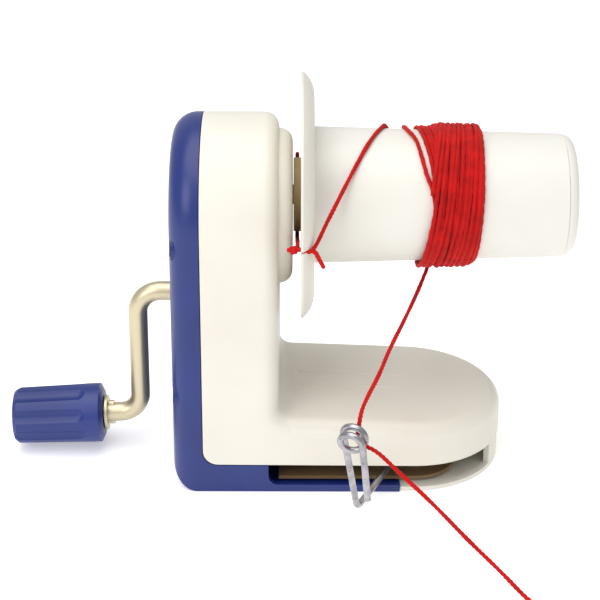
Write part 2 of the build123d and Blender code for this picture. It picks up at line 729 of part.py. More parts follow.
# Behind the flange the yarn goes from the slit under the hub and up its far side. Its other end
# is tied in a knot that stands out past the boss, so it clears the housing as the spool turns.
noose_x = 7.35
noose_points = [round_spool(noose_x + 0.2, 43.6, slit_angle - 1)]
noose_points += [round_spool(noose_x, 18.4, angle) for angle in range(-88, -238, -36)]
with BuildPart() as yarn_noose:
    add(tube(noose_points, cord_radii(noose_points), yarn_radius))
keep(yarn_noose, "yarn_noose")

with BuildPart() as yarn_knot:
    add(bar(yarn_radius, round_spool(7.7, 45.5, slit_angle), round_spool(6.2, 47.0, slit_angle)))
    with Locations(round_spool(5.6, 47.5, slit_angle)):
        Sphere(1.9)
keep(yarn_knot, "yarn_knot")

# The feed strand leaves the bottom of the band, goes into the guide's coil from behind, comes out
# between its two turns and falls to the surface in front of the winder.
feed_points = [
    (64.6, 10.3, 86.2),
    (58.5, -6.0, 78.4),
    (50.6, -26.0, 71.6),
    (43.6, -43.5, 67.0),
    (39.1, -55.1, 61.6),
    (34.5, -66.6, 59.0),
    (31.6, -74.0, 56.4),
    (30.6, -77.3, 51.0),
    (29.6, -83.5, 47.8),
    (36.4, -84.5, 46.3),
    (45.2, -89.4, 39.3),
    (57.1, -95.8, 30.6),
    (70.0, -102.9, 19.3),
    (81.6, -110.6, 11.0),
    (87.8, -113.9, 5.4),
    (93.2, -117.6, 1.5),
    (99.6, -121.0, 0.95),
]
feed_radii = cord_radii(feed_points)
print("feed strand radii", [round(radius, 1) for radius in feed_radii])
with BuildPart() as yarn_feed:
    add(tube(feed_points, feed_radii, yarn_radius))
keep(yarn_feed, "yarn_feed")
print("feed strand length", round(yarn_feed.part.volume / (pi * yarn_radius**2), 1))
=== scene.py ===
"""A small hand-cranked yarn winder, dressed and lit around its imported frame.

Metres throughout. +X runs along the spool to its free end, +Z is up and the guide slot is on the
-Y side. The housing, spool, crank, grip and wire guide are the frame's own pieces, given moulded
and plated finishes. The yarn is modelled here: the wound band turn by turn, the first strand, the
strand and knot behind the flange, and the feed strand that runs through the guide's coil.
"""

from __future__ import annotations

import logging
import math
import random
from dataclasses import dataclass, field
from enum import Enum
from typing import Sequence

import bpy
from mathutils import Euler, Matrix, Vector

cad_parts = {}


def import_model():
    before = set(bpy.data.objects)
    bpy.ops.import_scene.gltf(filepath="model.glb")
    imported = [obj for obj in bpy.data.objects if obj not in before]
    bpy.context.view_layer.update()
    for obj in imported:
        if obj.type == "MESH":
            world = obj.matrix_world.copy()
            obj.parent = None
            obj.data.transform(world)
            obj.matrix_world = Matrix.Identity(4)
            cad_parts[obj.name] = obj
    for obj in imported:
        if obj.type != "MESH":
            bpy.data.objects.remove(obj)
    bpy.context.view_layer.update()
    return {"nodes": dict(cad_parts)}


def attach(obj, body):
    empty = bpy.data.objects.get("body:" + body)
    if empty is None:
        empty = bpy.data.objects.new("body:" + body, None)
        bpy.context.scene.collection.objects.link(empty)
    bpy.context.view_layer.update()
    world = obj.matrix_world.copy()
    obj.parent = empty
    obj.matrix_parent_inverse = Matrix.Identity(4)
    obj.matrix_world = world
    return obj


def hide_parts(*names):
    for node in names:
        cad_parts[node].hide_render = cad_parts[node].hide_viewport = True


LOG = logging.getLogger("yarn_winder")
Colour = tuple[float, float, float]
MM = 0.001
SPOOL_AXIS_Z = 0.115


def srgb(red: int, green: int, blue: int) -> Colour:
    """Turn a colour of 0 to 255 into the linear values that a shader takes.

    Args:
        red, green, blue: the colour as a screen shows it.

    Returns:
        The same colour as three linear values of 0 to 1.
    """
    def linear(value: int) -> float:
        """One channel, made linear."""
        part = value / 255
        return part / 12.92 if part <= 0.04045 else ((part + 0.055) / 1.055) ** 2.4

    return linear(red), linear(green), linear(blue)


class Body(Enum):
    """The winder's moving bodies."""

    STAND = "stand"
    CRANK = "crank"
    GRIP = "grip"
    SPOOL = "spool"
    GUIDE = "guide"


# ------------------------------------------------------------------------------ shader groups
def new_group(name: str, inputs: Sequence[tuple[str, str, object]],
              outputs: Sequence[tuple[str, str]]) -> bpy.types.NodeTree:
    """Make an empty shader group with its sockets.

    Args:
        name: the group's name.
        inputs: a name, a socket type and a default for each input.
        outputs: a name and a socket type for each output.

    Returns:
        The group's node tree, with a Group Input and a Group Output node.
    """
    tree = bpy.data.node_groups.new(name, "ShaderNodeTree")
    for label, kind, default in inputs:
        socket = tree.interface.new_socket(name=label, in_out="INPUT", socket_type=kind)
        socket.default_value = default
    for label, kind in outputs:
        tree.interface.new_socket(name=label, in_out="OUTPUT", socket_type=kind)
    tree.nodes.new("NodeGroupInput").name = "in"
    tree.nodes.new("NodeGroupOutput").name = "out"
    return tree


def math_node(tree: bpy.types.NodeTree, operation: str, *values: object,
              clamp: bool = False) -> bpy.types.NodeSocket:
    """Add a Math node whose inputs are sockets or plain numbers.

    Args:
        tree: the tree that takes the node.
        operation: the Math node's operation.
        values: for each input, a socket to link or a number to set.
        clamp: keep the result between 0 and 1.

    Returns:
        The node's output socket.
    """
    node = tree.nodes.new("ShaderNodeMath")
    node.operation = operation
    node.use_clamp = clamp
    for socket, value in zip(node.inputs, values):
        if isinstance(value, bpy.types.NodeSocket):
            tree.links.new(value, socket)
        else:
            socket.default_value = value
    return node.outputs[0]


def noise_node(tree: bpy.types.NodeTree, vector: bpy.types.NodeSocket, scale: object,
               detail: float) -> bpy.types.NodeSocket:
    """Add a Noise Texture.

    Args:
        tree: the tree that takes the node.
        vector: the coordinates.
        scale: a socket or a number.
        detail: octaves of finer noise.

    Returns:
        The noise value's socket.
    """
    node = tree.nodes.new("ShaderNodeTexNoise")
    node.inputs["Detail"].default_value = detail
    tree.links.new(vector, node.inputs["Vector"])
    if isinstance(scale, bpy.types.NodeSocket):
        tree.links.new(scale, node.inputs["Scale"])
    else:
        node.inputs["Scale"].default_value = scale
    return node.outputs[0]


def moulded_group() -> bpy.types.NodeTree:
    """Build the group that moulded plastic shares: cloudy tone, faint waviness and fine grain."""
    tree = new_group(
        "moulded_surface",
        [("Light", "NodeSocketColor", (0.8, 0.8, 0.8, 1)), ("Deep", "NodeSocketColor", (0.7, 0.7, 0.7, 1)),
         ("Gloss", "NodeSocketFloat", 0.3), ("Grain", "NodeSocketFloat", 900.0),
         ("Waviness", "NodeSocketFloat", 0.1)],
        [("Colour", "NodeSocketColor"), ("Roughness", "NodeSocketFloat"), ("Normal", "NodeSocketVector")],
    )
    nodes, links = tree.nodes, tree.links
    entry, leave = nodes["in"], nodes["out"]
    place = nodes.new("ShaderNodeTexCoord").outputs["Object"]
    cloud = noise_node(tree, place, 26.0, 3.0)
    speck = noise_node(tree, place, entry.outputs["Grain"], 2.0)
    wave = noise_node(tree, place, 60.0, 1.0)
    mix = nodes.new("ShaderNodeMix")
    mix.data_type = "RGBA"
    links.new(math_node(tree, "MULTIPLY_ADD", cloud, 1.6, -0.3, clamp=True), mix.inputs["Factor"])
    links.new(entry.outputs["Light"], mix.inputs["A"])
    links.new(entry.outputs["Deep"], mix.inputs["B"])
    links.new(mix.outputs["Result"], leave.inputs["Colour"])
    rough = math_node(tree, "MULTIPLY_ADD", cloud, 0.10, entry.outputs["Gloss"])
    links.new(math_node(tree, "MULTIPLY_ADD", speck, 0.06, rough), leave.inputs["Roughness"])
    waved = math_node(tree, "MULTIPLY", wave, entry.outputs["Waviness"])
    height = math_node(tree, "MULTIPLY_ADD", speck, 0.03, waved)
    bump = nodes.new("ShaderNodeBump")
    bump.inputs["Strength"].default_value = 0.35
    bump.inputs["Distance"].default_value = 0.0006
    links.new(height, bump.inputs["Height"])
    links.new(bump.outputs["Normal"], leave.inputs["Normal"])
    return tree


def plated_group() -> bpy.types.NodeTree:
    """Build the group that plated steel shares: drifting tints, drawn streaks and small pits."""
    tree = new_group(
        "plated_surface",
        [("Base", "NodeSocketColor", (0.6, 0.6, 0.6, 1)), ("Tint", "NodeSocketColor", (0.6, 0.5, 0.4, 1)),
         ("Shade", "NodeSocketColor", (0.3, 0.3, 0.3, 1)), ("Drift", "NodeSocketFloat", 120.0),
         ("Polish", "NodeSocketFloat", 0.25)],
        [("Colour", "NodeSocketColor"), ("Roughness", "NodeSocketFloat"), ("Normal", "NodeSocketVector")],
    )
    nodes, links = tree.nodes, tree.links
    entry, leave = nodes["in"], nodes["out"]
    place = nodes.new("ShaderNodeTexCoord").outputs["Object"]
    drift = noise_node(tree, place, entry.outputs["Drift"], 2.0)
    spots = noise_node(tree, place, 700.0, 4.0)
    first = nodes.new("ShaderNodeMix")
    first.data_type = "RGBA"
    links.new(math_node(tree, "MULTIPLY_ADD", drift, 4.0, -1.6, clamp=True), first.inputs["Factor"])
    links.new(entry.outputs["Base"], first.inputs["A"])
    links.new(entry.outputs["Tint"], first.inputs["B"])
    second = nodes.new("ShaderNodeMix")
    second.data_type = "RGBA"
    links.new(math_node(tree, "MULTIPLY_ADD", spots, 5.0, -3.0, clamp=True), second.inputs["Factor"])
    links.new(first.outputs["Result"], second.inputs["A"])
    links.new(entry.outputs["Shade"], second.inputs["B"])
    links.new(second.outputs["Result"], leave.inputs["Colour"])
    rough = math_node(tree, "MULTIPLY_ADD", spots, 0.18, entry.outputs["Polish"])
    links.new(rough, leave.inputs["Roughness"])
    bump = nodes.new("ShaderNodeBump")
    bump.inputs["Strength"].default_value = 0.25
    bump.inputs["Distance"].default_value = 0.0002
    links.new(spots, bump.inputs["Height"])
    links.new(bump.outputs["Normal"], leave.inputs["Normal"])
    return tree


def yarn_group() -> bpy.types.NodeTree:
    """Build the group for spun wool: fibres along the strand, deep valleys and a patchy dye."""
    tree = new_group(
        "spun_wool",
        [("Bright", "NodeSocketColor", (0.8, 0.02, 0.02, 1)), ("Deep", "NodeSocketColor", (0.4, 0, 0, 1))],
        [("Colour", "NodeSocketColor"), ("Roughness", "NodeSocketFloat"), ("Normal", "NodeSocketVector")],
    )
    nodes, links = tree.nodes, tree.links
    leave = nodes["out"]
    lie = nodes.new("ShaderNodeUVMap")
    lie.uv_map = "strand"
    stretch = nodes.new("ShaderNodeMapping")
    stretch.inputs["Scale"].default_value = (1.2, 26.0, 1.0)
    links.new(lie.outputs["UV"], stretch.inputs["Vector"])
    fibres = noise_node(tree, stretch.outputs["Vector"], 3.0, 4.0)
    dye = noise_node(tree, nodes.new("ShaderNodeTexCoord").outputs["Object"], 160.0, 2.0)
    patches = math_node(tree, "ADD", dye, -0.95)
    blend = math_node(tree, "MULTIPLY_ADD", fibres, 1.6, patches, clamp=True)
    mix = nodes.new("ShaderNodeMix")
    mix.data_type = "RGBA"
    links.new(blend, mix.inputs["Factor"])
    links.new(nodes["in"].outputs["Bright"], mix.inputs["A"])
    links.new(nodes["in"].outputs["Deep"], mix.inputs["B"])
    links.new(mix.outputs["Result"], leave.inputs["Colour"])
    links.new(math_node(tree, "MULTIPLY_ADD", fibres, 0.25, 0.6), leave.inputs["Roughness"])
    bump = nodes.new("ShaderNodeBump")
    bump.inputs["Strength"].default_value = 0.6
    bump.inputs["Distance"].default_value = 0.0003
    links.new(fibres, bump.inputs["Height"])
    links.new(bump.outputs["Normal"], leave.inputs["Normal"])
    return tree


# ------------------------------------------------------------------------------ finishes
@dataclass(frozen=True)
class Finish:
    """A finish: one Principled shader fed by one of the shared groups.

    Attributes:
        name: the material's name.
        group: the shared group's name.
        colours: the group's colour inputs.
        values: the group's number inputs.
        sockets: plain values on the shader's own sockets.
    """

    name: str
    group: str
    colours: dict[str, Colour] = field(default_factory=dict)
    values: dict[str, float] = field(default_factory=dict)
    sockets: dict[str, object] = field(default_factory=dict)

    def material(self) -> bpy.types.Material:
        """Return the finish's material, made on first use."""
        made = bpy.data.materials.get(self.name)
        if made:
            return made
        made = bpy.data.materials.new(self.name)
        made.use_nodes = True
        tree = made.node_tree
        shader = tree.nodes["Principled BSDF"]
        surface = tree.nodes.new("ShaderNodeGroup")
        surface.node_tree = bpy.data.node_groups[self.group]
        for label, colour in self.colours.items():
            surface.inputs[label].default_value = (*colour, 1)
        for label, value in self.values.items():
            surface.inputs[label].default_value = value
        for label, value in self.sockets.items():
            shader.inputs[label].default_value = value
        tree.links.new(surface.outputs["Colour"], shader.inputs["Base Color"])
        tree.links.new(surface.outputs["Roughness"], shader.inputs["Roughness"])
        tree.links.new(surface.outputs["Normal"], shader.inputs["Normal"])
        return made


def plastic(name: str, light: Colour, deep: Colour, gloss: float, waviness: float = 0.1,
            sockets: dict[str, object] | None = None) -> Finish:
    """Describe a moulded plastic.

    Args:
        name: the finish's name.
        light, deep: the two tones that it drifts between.
        gloss: its roughness, 0 for a mirror.
        waviness: how far the surface strays from true.
        sockets: more values for the shader's own sockets.

    Returns:
        The finish.
    """
    return Finish(name, "moulded_surface", {"Light": light, "Deep": deep},
                  {"Gloss": gloss, "Waviness": waviness}, sockets or {})


def metal(name: str, base: Colour, tint: Colour, shade: Colour, drift: float,
          polish: float) -> Finish:
    """Describe a plated metal.

    Args:
        name: the finish's name.
        base, tint, shade: its main colour, the tint that it drifts to and its stains.
        drift: how close together the tints are.
        polish: its roughness, 0 for a mirror.

    Returns:
        The finish.
    """
    return Finish(name, "plated_surface", {"Base": base, "Tint": tint, "Shade": shade},
                  {"Drift": drift, "Polish": polish}, {"Metallic": 1.0})


WHITE_SHELL = plastic("white_shell", srgb(226, 223, 213), srgb(218, 213, 200), 0.32)
WHITE_SPOOL = plastic("white_spool", srgb(226, 225, 218), srgb(219, 216, 206), 0.36)
WHITE_FLANGE = plastic("white_flange", srgb(224, 222, 212), srgb(217, 213, 202), 0.36)
BLUE_SHELL = plastic("blue_shell", srgb(19, 43, 118), srgb(14, 34, 100), 0.27)
BLUE_GRIP = plastic("blue_grip", srgb(34, 54, 134), srgb(19, 38, 104), 0.3)
# Painted shade: the hub is white plastic, coloured tan as it looks in the shadow behind the flange.
HUB_PAINTED_SHADE = plastic("hub_painted_shade", srgb(198, 172, 122), srgb(176, 148, 98), 0.42)
PALE_CAP = plastic("pale_cap", srgb(196, 194, 190), srgb(182, 178, 172), 0.45)
# Painted shade: the guide and bearing plates are white plastic, coloured brown as they look in the shade
# under the shell.
PLATE_PAINTED_SHADE = plastic("plate_painted_shade", srgb(138, 112, 78), srgb(112, 88, 58), 0.5)
NATURAL_ACETAL = plastic("natural_acetal", srgb(228, 225, 215), srgb(217, 213, 200), 0.4)
YELLOW_ZINC = metal("yellow_zinc", srgb(186, 178, 146), srgb(168, 134, 112), srgb(62, 58, 64),
                    150.0, 0.22)
BRIGHT_STEEL = metal("bright_steel", srgb(200, 200, 204), srgb(186, 184, 182), srgb(130, 130, 132),
                     300.0, 0.24)
GUIDE_STEEL = metal("guide_steel", srgb(172, 171, 176), srgb(146, 145, 149), srgb(86, 85, 88),
                    260.0, 0.22)
RED_WOOL = Finish("red_wool", "spun_wool",
                  {"Bright": srgb(214, 20, 20), "Deep": srgb(132, 3, 7)}, {},
                  {"Sheen Weight": 0.14, "Sheen Roughness": 0.5, "Specular IOR Level": 0.15,
                   "Sheen Tint": (1.0, 0.35, 0.3, 1.0)})

CAD_FINISHES: dict[str, Finish] = {
    "front_housing": WHITE_SHELL,
    "nose_pan": WHITE_SHELL,
    "back_housing": BLUE_SHELL,
    "guide_plate": PLATE_PAINTED_SHADE,
    "bearing_plate": PLATE_PAINTED_SHADE,
    "crank_rear_bushing": NATURAL_ACETAL,
    "crank_front_bushing": NATURAL_ACETAL,
    "spool_rear_bushing": NATURAL_ACETAL,
    "spool_front_bushing": NATURAL_ACETAL,
    "drive_gear": NATURAL_ACETAL,
    "spool_pinion": NATURAL_ACETAL,
    "crank_rod": YELLOW_ZINC,
    "grip_washer": YELLOW_ZINC,
    "crank_grip": BLUE_GRIP,
    "grip_cap": PALE_CAP,
    "spool_hub": HUB_PAINTED_SHADE,
    "flange_disc": WHITE_FLANGE,
    "spool_barrel": WHITE_SPOOL,
    "spool_end_cap": WHITE_SPOOL,
    "yarn_guide": GUIDE_STEEL,
}


# ------------------------------------------------------------------------------ small tools
def deselect_all() -> None:
    """Leave object mode's selection empty."""
    for item in bpy.context.selected_objects:
        item.select_set(False)


def smooth_line(points: Sequence[Vector], step: float) -> list[Vector]:
    """Run a smooth line through points.

    Args:
        points: the points, in order.
        step: the distance between the line's own points.

    Returns:
        Points of a centripetal-like Catmull-Rom line through the given ones.
    """
    ends = [points[0] * 2 - points[1], *points, points[-1] * 2 - points[-2]]
    line: list[Vector] = []
    for a, b, c, d in zip(ends, ends[1:], ends[2:], ends[3:]):
        count = max(2, round((c - b).length / step))
        for number in range(count):
            t = number / count
            line.append(0.5 * (2 * b + (c - a) * t + (2 * a - 5 * b + 4 * c - d) * t * t
                               + (3 * b - a - 3 * c + d) * t ** 3))
    line.append(points[-1].copy())
    return line


def round_spool(x: float, radius: float, angle: float) -> Vector:
    """Place a point beside the spool.

    Args:
        x: the station along the spool, in millimetres.
        radius: the distance from its axis, in millimetres.
        angle: degrees from the -Y side upwards over the top.

    Returns:
        The point, in metres.
    """
    turn = math.radians(angle)
    return Vector((x * MM, -radius * MM * math.cos(turn), SPOOL_AXIS_Z + radius * MM * math.sin(turn)))


@dataclass
class PliedYarn:
    """Strands of one plied yarn, as closed meshes with a UV map along the strand.

    Attributes:
        radius: half the yarn's thickness.
        plies: how many plies are twisted together.
        groove: depth of the valley between plies, as a part of the radius.
        lay: length of one twist.
        sides: points round the strand.
        seed: start of its random draws.
        waves: size, as a part of the radius, and length of the swellings along the strand.
        map_length: length of strand that covers one unit of its UV map.
    """

    radius: float = 0.9 * MM
    plies: int = 3
    groove: float = 0.24
    lay: float = 5.2 * MM
    sides: int = 12
    seed: int = 7
    waves: tuple[tuple[float, float], ...] = ((0.05, 0.0043), (0.04, 0.0017))
    map_length: float = 0.01

    def mesh(self, name: str, lines: Sequence[Sequence[Vector]],
             fullness: float = 1.0) -> bpy.types.Object:
        """Build one object that holds strands along several lines.

        Args:
            name: the object's name.
            lines: each strand's points.
            fullness: how much thicker than the yarn's radius the strands are, as a factor.

        Returns:
            The object, at the origin.
        """
        draw = random.Random(self.seed)
        corners: list[Vector] = []
        faces: list[list[int]] = []
        unwrapped: list[tuple[float, float]] = []
        for line in lines:
            self._strand(line, draw, fullness, corners, faces, unwrapped)
        shape = bpy.data.meshes.new(name)
        shape.from_pydata([tuple(corner) for corner in corners], [], faces)
        layer = shape.uv_layers.new(name="strand")
        layer.data.foreach_set("uv", [value for pair in unwrapped for value in pair])
        shape.polygons.foreach_set("use_smooth", [True] * len(shape.polygons))
        shape.update()
        piece = bpy.data.objects.new(name, shape)
        bpy.context.scene.collection.objects.link(piece)
        piece.data.materials.append(RED_WOOL.material())
        return piece

    def _strand(self, line: Sequence[Vector], draw: random.Random, fullness: float,
                corners: list[Vector], faces: list[list[int]],
                unwrapped: list[tuple[float, float]]) -> None:
        """Append one strand's rings, walls and ends.

        Args:
            line: the strand's points.
            draw: source of its unevenness.
            fullness: its thickness, as a factor.
            corners, faces, unwrapped: the mesh so far, which grows.
        """
        first = len(corners)
        sides = self.sides
        tangents = [(b - a).normalized() for a, b in zip(line, line[1:])]
        tangents.append(tangents[-1])
        side = tangents[0].orthogonal().normalized()
        run = 0.0
        runs: list[float] = []
        phases = [draw.uniform(0, math.tau) for _ in range(3)]
        for number, (point, tangent) in enumerate(zip(line, tangents)):
            if number:
                run += (point - line[number - 1]).length
            runs.append(run)
            side = (side - tangent * side.dot(tangent)).normalized()
            other = tangent.cross(side)
            swell = sum(size * math.sin(run / length + phase)
                        for (size, length), phase in zip(self.waves, phases))
            twist = math.tau * run / self.lay + phases[2]
            for k in range(sides):
                turn = math.tau * k / sides
                lobe = 0.5 - 0.5 * math.cos(self.plies * (turn - twist))
                reach = self.radius * (1 + swell) * fullness * (1 - self.groove * lobe)
                corners.append(point + (side * math.cos(turn) + other * math.sin(turn)) * reach)
        for ring in range(len(line) - 1):
            low, high = first + ring * sides, first + (ring + 1) * sides
            u_low, u_high = runs[ring] / self.map_length, runs[ring + 1] / self.map_length
            for k in range(sides):
                nxt = (k + 1) % sides
                faces.append([low + k, low + nxt, high + nxt, high + k])
                unwrapped += [(u_low, k / sides), (u_low, (k + 1) / sides),
                              (u_high, (k + 1) / sides), (u_high, k / sides)]
        last = first + (len(line) - 1) * sides
        faces.append([first + k for k in range(sides - 1, -1, -1)])
        unwrapped += [(0.0, k / sides) for k in range(sides - 1, -1, -1)]
        faces.append([last + k for k in range(sides)])
        unwrapped += [(runs[-1] / self.map_length, k / sides) for k in range(sides)]


# ------------------------------------------------------------------------------ yarn
@dataclass
class WoundBand:
    """The yarn wound on the barrel, in crossing turns that lean one way below and the other above.

    Attributes:
        yarn: the yarn's make-up.
        barrel_back_radius, barrel_taper, barrel_back_x: the barrel below it, in millimetres.
        point_step: distance between a strand's points, in millimetres.
        key_angles: where a turn's four stations lie, from the bottom forwards and over the top.
        loop_height: height of the first loop's middle above the barrel, in millimetres.
    """

    yarn: PliedYarn
    barrel_back_radius: float = 27.8
    barrel_taper: float = math.tan(math.radians(1.6))
    barrel_back_x: float = 14.2
    point_step: float = 1.3
    key_angles: tuple[float, ...] = (-70, 20, 110, 200)
    loop_height: float = 1.0

    def barrel_radius(self, x: float) -> float:
        """Give the barrel's radius at a station, both in millimetres."""
        return self.barrel_back_radius - (x - self.barrel_back_x) * self.barrel_taper

    def layer(self, turns: int, bottom: tuple[float, float], front: tuple[float, float],
              top: tuple[float, float], back: tuple[float, float], height: float,
              stray: float, seed: int) -> list[Vector]:
        """Lay one layer of turns as a single unbroken line.

        Args:
            turns: how many times it goes round.
            bottom, front, top, back: its first and last station on each side, in millimetres.
            height: the strand's middle above the barrel, in millimetres.
            stray: how far a turn wanders from its place, in millimetres.
            seed: start of its random draws.

        Returns:
            The line's points, in metres.
        """
        draw = random.Random(seed)
        keys: list[tuple[float, float, float]] = []
        for turn in range(turns + 1):
            share = turn / turns
            for angle, (start, end) in zip(self.key_angles, (bottom, front, top, back)):
                x = start + (end - start) * share + draw.uniform(-stray, stray)
                keys.append((turn * 360 + angle, x, height + draw.uniform(-0.12, 0.2)))
        line: list[Vector] = []
        for before, here, there, after in zip(keys, keys[1:], keys[2:], keys[3:]):
            count = round(math.radians(90) * self.barrel_back_radius / self.point_step)
            for number in range(count):
                t = number / count
                angle = here[0] + 90 * t

                def ease(slot: int) -> float:
                    """Catmull-Rom between the two middle keys."""
                    a, b, c, d = before[slot], here[slot], there[slot], after[slot]
                    return 0.5 * (2 * b + (c - a) * t + (2 * a - 5 * b + 4 * c - d) * t * t
                                  + (3 * b - a - 3 * c + d) * t ** 3)

                x = ease(1)
                line.append(round_spool(x, self.barrel_radius(x) + ease(2), angle))
        return line

    def build(self) -> bpy.types.Object:
        """Model the band and let it stand for the frame's plain one."""
        lower = self.layer(15, (60.0, 78.0), (61.5, 79.8), (55.8, 80.6), (56.4, 80.0), 0.85, 0.25, 3)
        middle = self.layer(12, (56.0, 77.0), (60.5, 79.7), (62.5, 80.4), (58.4, 79.4), 1.7, 0.5, 11)
        upper = self.layer(9, (54.6, 74.5), (60.0, 79.4), (65.4, 80.2), (59.4, 78.2), 2.3, 0.7, 19)
        first_loop = ((-60, 61.0), (-25, 62.4), (5, 61.8), (25, 60.0), (37, 58.0), (52, 56.4),
                      (72, 54.5), (90, 51.6), (120, 50.8), (150, 53.4), (175, 57.2), (195, 59.5))
        loop = smooth_line([round_spool(x, self.barrel_radius(x) + self.loop_height, angle)
                            for angle, x in first_loop], self.point_step * MM)
        piece = self.yarn.mesh("wound_yarn", [lower, middle, upper, loop])
        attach(piece, Body.SPOOL.value)
        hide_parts("yarn_wound")
        return piece


@dataclass
class YarnEnds:
    """The strands that start at the slit in the flange's rim.

    Attributes:
        yarn: the yarn's make-up.
        slit_angle: where the slit is, in degrees as round_spool takes them.
        noose_x, noose_radius: the strand under the hub, in millimetres.
        knot_size: scale of the knot's trefoil, in metres.
        knot_points: how many points the trefoil has.
        cut_end_fullness: how much thicker the cut end is, as a factor.
        knot_step, tail_step, long_step: distance between points on the knot, on the cut end and on
            the long strands, in metres.
    """

    yarn: PliedYarn
    slit_angle: float = -5.5
    noose_x: float = 7.35
    noose_radius: float = 17.6
    knot_size: float = 0.62 * MM
    knot_points: int = 24
    cut_end_fullness: float = 1.08
    knot_step: float = 0.5 * MM
    tail_step: float = 0.6 * MM
    long_step: float = 0.9 * MM

    def _finish(self, piece: bpy.types.Object, node: str) -> bpy.types.Object:
        """Make a strand ride on the spool in place of a frame node."""
        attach(piece, Body.SPOOL.value)
        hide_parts(node)
        return piece

    def lead(self) -> bpy.types.Object:
        """Model the first strand, from the slit over the barrel's top into the band."""
        line = [round_spool(9.2, 47.4, -5.5), round_spool(13.4, 47.2, -5.4),
                Vector((0.0192, -0.0379, 0.1188)), Vector((0.0249, -0.0288, 0.1271))]
        line += [round_spool(*station) for station in (
            (30.7, 28.3, 46.0), (36.2, 28.2, 70.0), (41.6, 28.1, 98.0), (43.8, 28.0, 122.0),
            (47.5, 27.8, 146.0), (52.0, 27.7, 165.0), (57.0, 27.6, 185.0), (60.0, 27.6, 200.0))]
        line = smooth_line(line, self.long_step)
        return self._finish(self.yarn.mesh("first_strand", [line]), "yarn_lead")

    def tail(self) -> bpy.types.Object:
        """Model the cut end that hangs from the slit."""
        stations = ((13.2, -46.9, 110.3), (14.4, -47.0, 109.2), (15.5, -46.9, 107.2),
                    (16.5, -46.6, 105.0), (17.6, -46.2, 102.8))
        points = [Vector(station) * MM for station in stations]
        line = smooth_line(points, self.tail_step)
        return self._finish(self.yarn.mesh("cut_end", [line], self.cut_end_fullness), "yarn_tail")

    def noose(self) -> bpy.types.Object:
        """Model the strand behind the flange, from the slit under the hub and up its far side."""
        under_and_up = (-88, -118, -148, -178, -208, -232)
        points = [round_spool(7.6, 44.6, self.slit_angle - 0.5), round_spool(7.5, 24.7, -27.2)]
        points += [round_spool(self.noose_x, self.noose_radius, angle) for angle in under_and_up]
        line = smooth_line(points, self.long_step)
        return self._finish(self.yarn.mesh("hub_noose", [line]), "yarn_noose")

    def knot(self) -> bpy.types.Object:
        """Model the knot at the slit, with its short second end."""
        centre = round_spool(5.9, 47.5, self.slit_angle)
        points = []
        for number in range(self.knot_points):
            turn = math.tau * number / self.knot_points
            points.append(centre + self.knot_size * Vector((
                0.576 * (math.sin(turn) + 2 * math.sin(2 * turn)),
                0.72 * (math.cos(turn) - 2 * math.cos(2 * turn)),
                -1.2 * math.sin(3 * turn),
            )))
        tied = smooth_line(points, self.knot_step)
        across = ((-2.3, -0.4, 0.2), (0, -0.6, 0.3), (1.9, 0, 0.2), (4.2, 0.2, 0.1))
        bridge = smooth_line([centre + Vector(step) * MM for step in across], self.knot_step)
        return self._finish(self.yarn.mesh("slit_knot", [tied, bridge]), "yarn_knot")


@dataclass
class FeedStrand:
    """The limp strand that leaves the band, passes through the guide's coil and falls to the floor.

    Attributes:
        yarn: the yarn's make-up.
        route: the strand's route in metres, as the frame's tube follows it.
        diameter: its thickness; not used.
    """

    yarn: PliedYarn
    route: tuple[tuple[float, float, float], ...] = (
        (0.0646, 0.0103, 0.0862),
        (0.0585, -0.0060, 0.0784),
        (0.0506, -0.0260, 0.0716),
        (0.0436, -0.0435, 0.0670),
        (0.0391, -0.0551, 0.0616),
        (0.0345, -0.0666, 0.0590),
        (0.0316, -0.0740, 0.0564),
        (0.0306, -0.0773, 0.0510),
        (0.0296, -0.0835, 0.0478),
        (0.0364, -0.0845, 0.0463),
        (0.0452, -0.0894, 0.0393),
        (0.0571, -0.0958, 0.0306),
        (0.0700, -0.1029, 0.0193),
        (0.0816, -0.1106, 0.0110),
        (0.0878, -0.1139, 0.0054),
        (0.0932, -0.1176, 0.0015),
        (0.0996, -0.1210, 0.00095),
    )
    diameter: float = 1.8 * MM

    def centre_line(self) -> list[Vector]:
        """Read the points of the route's smooth spline.

        Returns:
            The points, in metres, from the band to the free end.
        """
        curve = bpy.data.curves.new("feed_route", "CURVE")
        curve.dimensions = "3D"
        curve.resolution_u = 24
        spline = curve.splines.new("NURBS")
        spline.points.add(len(self.route) - 1)
        for point, place in zip(spline.points, self.route):
            point.co = (*place, 1)
        spline.order_u = 3
        spline.use_endpoint_u = True
        holder = bpy.data.objects.new("feed_route", curve)
        bpy.context.scene.collection.objects.link(holder)
        line = bpy.data.meshes.new_from_object(holder.evaluated_get(bpy.context.evaluated_depsgraph_get()))
        points = [vertex.co.copy() for vertex in line.vertices]
        bpy.data.objects.remove(holder)
        bpy.data.curves.remove(curve)
        bpy.data.meshes.remove(line)
        return points

    def build(self) -> bpy.types.Object:
        line = self.centre_line()
        piece = self.yarn.mesh("feed_strand", [line])
        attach(piece, Body.STAND.value)
        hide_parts("yarn_feed")
        return piece


